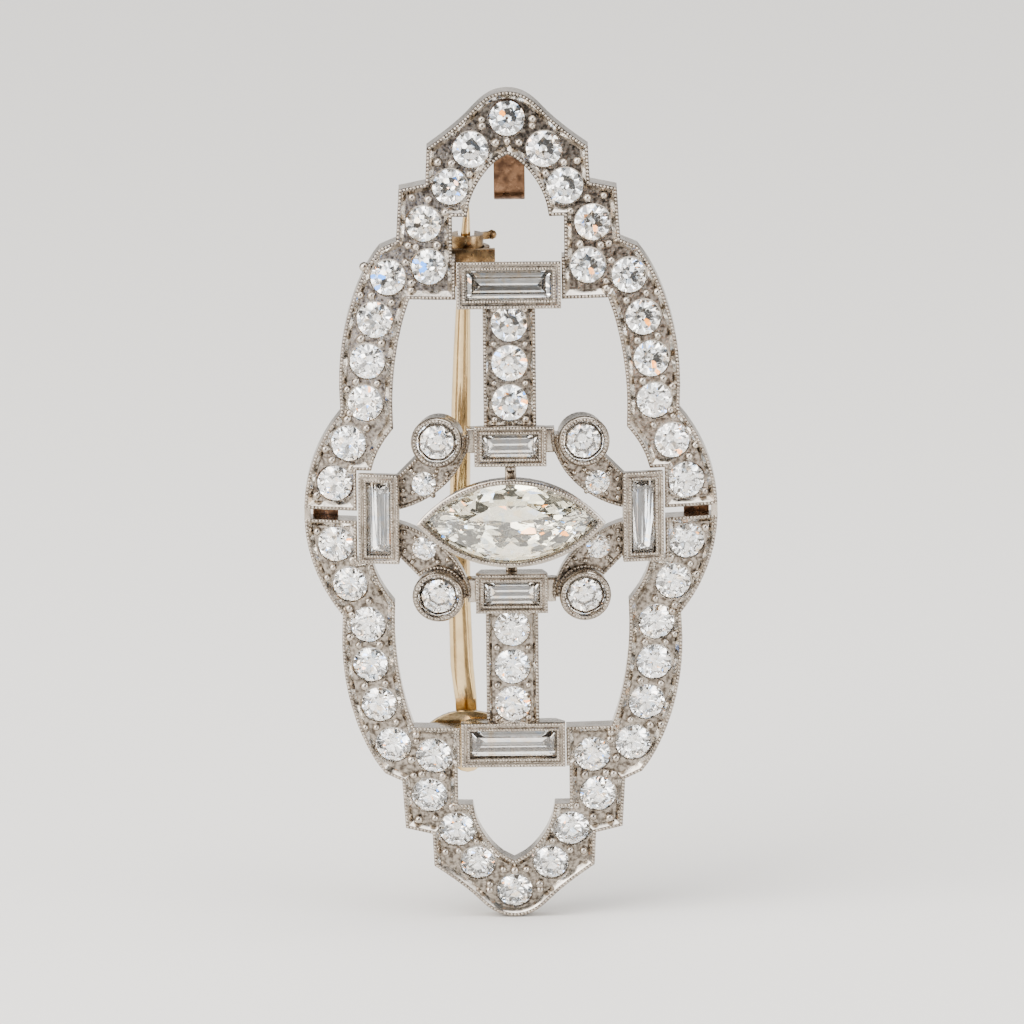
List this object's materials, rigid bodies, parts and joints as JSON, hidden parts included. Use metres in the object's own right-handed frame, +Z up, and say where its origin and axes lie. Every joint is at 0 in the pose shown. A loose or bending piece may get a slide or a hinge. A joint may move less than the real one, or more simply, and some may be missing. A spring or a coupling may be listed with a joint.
{
  "type": "pendant brooch",
  "caption": "Upright openwork gem-set brooch: domed stepped frame, marquise centre, box-set baguettes, hinged pin stem, rotating safety catch and fold-down bail.",
  "frame": {"origin": "on the plane of the cloth behind the brooch, behind the centre of the marquise stone", "axes": "+Z up as worn, towards the bail; +Y back into the cloth; the stones face -Y; +X to the viewer's right"},
  "size_m": [0.0244, 0.008, 0.05],
  "materials": {
    "platinum": "polished and bright-cut platinum with millegrain edges",
    "yellow_gold": "worn polished yellow gold",
    "red_gold": "satin red-brown gold with old solder",
    "diamond": "faceted colourless diamond",
    "tinted_diamond": "faceted faintly yellow old-cut diamond"
  },
  "bodies": {
    "setting": {"bail_bracket": "red_gold", "bail_pivot": "red_gold", "catch_shell": "yellow_gold", "hinge_plate": "yellow_gold", "hinge_rivet": "yellow_gold", "left_joint_strap": "red_gold", "left_side_baguette": "diamond", "left_side_box": "platinum", "lower_frame": "platinum", "lower_large_baguette": "diamond", "lower_large_box": "platinum", "lower_left_leaf": "platinum", "lower_left_leaf_diamond": "diamond", "lower_left_round_bezel": "platinum", "lower_left_round_diamond": "diamond", "lower_link": "platinum", "lower_post": "platinum", "lower_post_stone_1": "diamond", "lower_post_stone_2": "diamond", "lower_post_stone_3": "diamond", "lower_right_leaf": "platinum", "lower_right_leaf_diamond": "diamond", "lower_right_round_bezel": "platinum", "lower_right_round_diamond": "diamond", "lower_small_baguette": "diamond", "lower_small_box": "platinum", "marquise_bezel": "platinum", "marquise_diamond": "tinted_diamond", "right_joint_strap": "red_gold", "right_side_baguette": "diamond", "right_side_box": "platinum", "upper_frame": "platinum", "upper_large_baguette": "diamond", "upper_large_box": "platinum", "upper_left_leaf": "platinum", "upper_left_leaf_diamond": "diamond", "upper_left_round_bezel": "platinum", "upper_left_round_diamond": "diamond", "upper_link": "platinum", "upper_post": "platinum", "upper_post_stone_1": "diamond", "upper_post_stone_2": "diamond", "upper_post_stone_3": "diamond", "upper_right_leaf": "platinum", "upper_right_leaf_diamond": "diamond", "upper_right_round_bezel": "platinum", "upper_right_round_diamond": "diamond", "upper_small_baguette": "diamond", "upper_small_box": "platinum"},
    "pin": {"pin_stem": "yellow_gold"},
    "catch_sleeve": {"catch_rotor": "yellow_gold"},
    "bail": {"bail_ring": "red_gold"}
  },
  "joints": [
    {"name": "pin_hinge", "type": "hinge", "parent": "setting", "child": "pin", "pos_m": [-0.00272, 0.00055, -0.0141], "axis": [-1, 0, 0], "range_deg": [0, 95]},
    {"name": "catch_turn", "type": "hinge", "parent": "setting", "child": "catch_sleeve", "pos_m": [-0.00248, 0.00055, 0.01445], "axis": [0, 0, 1], "range_deg": [0, 100]},
    {"name": "bail_fold", "type": "hinge", "parent": "setting", "child": "bail", "pos_m": [0.0001, 0.0011, 0.0229], "axis": [1, 0, 0], "range_deg": [0, 180]}
  ]
}
